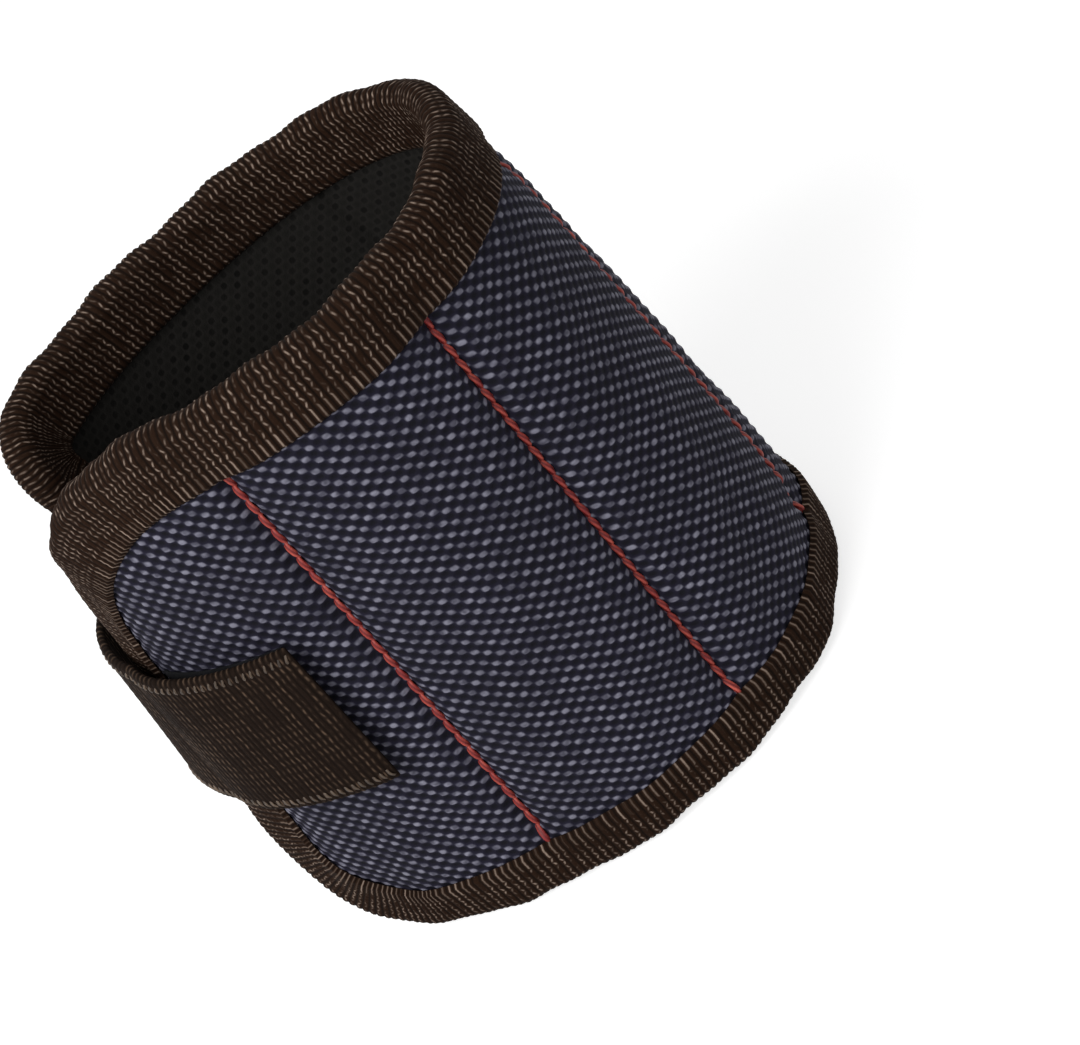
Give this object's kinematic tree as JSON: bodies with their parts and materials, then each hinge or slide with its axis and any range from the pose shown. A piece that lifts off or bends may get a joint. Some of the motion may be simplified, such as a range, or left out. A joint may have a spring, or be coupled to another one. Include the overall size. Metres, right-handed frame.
{
  "type": "magnetic wristband",
  "caption": "Padded navy-black nylon wristband with magnet pockets, red stitch rows, ribbed dark binding and a hook-and-loop strap.",
  "frame": {"origin": "on the plane of the hand-side edge, under the middle of the cuff's box", "axes": "+Z along the forearm from the hand-side edge to the elbow-side edge, -Y out of the front pocket, +X towards the folded side away from the strap"},
  "size_m": [0.0944, 0.068, 0.09],
  "materials": {
    "ballistic_nylon": "coarse plain weave, slight sheen",
    "lining_mesh": "fine knitted mesh, matt",
    "foam": "closed-cell foam",
    "magnet_plating": "nickel plated",
    "binding_tape": "ribbed tape, matt",
    "strap_webbing": "ribbed webbing, matt",
    "hook_and_loop": "hooked and looped pile",
    "red_thread": "twisted polyester thread"
  },
  "bodies": {
    "pocket_a": {"outer_cloth_a": "ballistic_nylon", "lining_a": "lining_mesh", "foam_pad_a": "foam", "magnet_lower_a": "magnet_plating", "magnet_upper_a": "magnet_plating", "near_end_binding": "binding_tape", "loop_patch": "hook_and_loop"},
    "pocket_b": {"outer_cloth_b": "ballistic_nylon", "lining_b": "lining_mesh", "foam_pad_b": "foam", "magnet_lower_b": "magnet_plating", "magnet_upper_b": "magnet_plating", "lower_binding_b": "binding_tape", "upper_binding_b": "binding_tape", "red_stitch_row_1": "red_thread"},
    "pocket_c": {"outer_cloth_c": "ballistic_nylon", "lining_c": "lining_mesh", "foam_pad_c": "foam", "magnet_lower_c": "magnet_plating", "magnet_upper_c": "magnet_plating", "lower_binding_c": "binding_tape", "upper_binding_c": "binding_tape", "red_stitch_row_2": "red_thread", "red_stitch_row_3": "red_thread"},
    "pocket_d": {"outer_cloth_d": "ballistic_nylon", "lining_d": "lining_mesh", "foam_pad_d": "foam", "magnet_lower_d": "magnet_plating", "magnet_upper_d": "magnet_plating", "lower_binding_d": "binding_tape", "upper_binding_d": "binding_tape", "red_stitch_row_4": "red_thread"},
    "pocket_e": {"outer_cloth_e": "ballistic_nylon", "lining_e": "lining_mesh", "foam_pad_e": "foam", "magnet_lower_e": "magnet_plating", "magnet_upper_e": "magnet_plating", "far_end_binding": "binding_tape", "strap_sewn_base": "strap_webbing", "strap_base_stitch": "red_thread"},
    "strap_middle": {"strap_bridge": "strap_webbing"},
    "strap_end": {"strap_over": "strap_webbing", "hook_pad": "hook_and_loop"},
    "strap_tab": {"strap_pull_tab": "strap_webbing"}
  },
  "joints": [
    {"name": "fold_row_3", "type": "hinge", "parent": "pocket_c", "child": "pocket_d", "pos_m": [0.0407, -0.00122, 0.045], "axis": [0.0447, -0.1619, -0.9858], "range_deg": [0, 40]},
    {"name": "fold_row_4", "type": "hinge", "parent": "pocket_d", "child": "pocket_e", "pos_m": [0.02723, 0.02563, 0.045], "axis": [0.1937, -0.0785, -0.9779], "range_deg": [0, 40]},
    {"name": "fold_row_2", "type": "hinge", "parent": "pocket_c", "child": "pocket_b", "pos_m": [0.01904, -0.02466, 0.045], "axis": [-0.0003, 0.1264, 0.992], "range_deg": [0, 10]},
    {"name": "fold_row_1", "type": "hinge", "parent": "pocket_b", "child": "pocket_a", "pos_m": [-0.01341, -0.02261, 0.045], "axis": [0.0006, 0.1243, 0.9922], "range_deg": [0, 10]},
    {"name": "strap_swing", "type": "hinge", "parent": "pocket_e", "child": "strap_middle", "pos_m": [-0.01673, 0.02919, 0.044], "axis": [-0.2063, -0.062, -0.9765], "range_deg": [0, 80]},
    {"name": "strap_peel", "type": "hinge", "parent": "strap_middle", "child": "strap_end", "pos_m": [-0.04573, 0.00928, 0.044], "axis": [-0.1148, -0.2191, -0.9689], "range_deg": [0, 90]},
    {"name": "tab_lift", "type": "hinge", "parent": "strap_end", "child": "strap_tab", "pos_m": [-0.03146, -0.01982, 0.044], "axis": [0.0002, -0.1363, -0.9907], "range_deg": [0, 60]}
  ],
  "couplings": [
    {"joint": "fold_row_4", "follows": "fold_row_3", "ratio": 1},
    {"joint": "fold_row_2", "follows": "fold_row_3", "ratio": 0.25},
    {"joint": "fold_row_1", "follows": "fold_row_3", "ratio": 0.25},
    {"joint": "strap_swing", "follows": "fold_row_3", "ratio": 2},
    {"joint": "strap_peel", "follows": "fold_row_3", "ratio": 2.25}
  ]
}
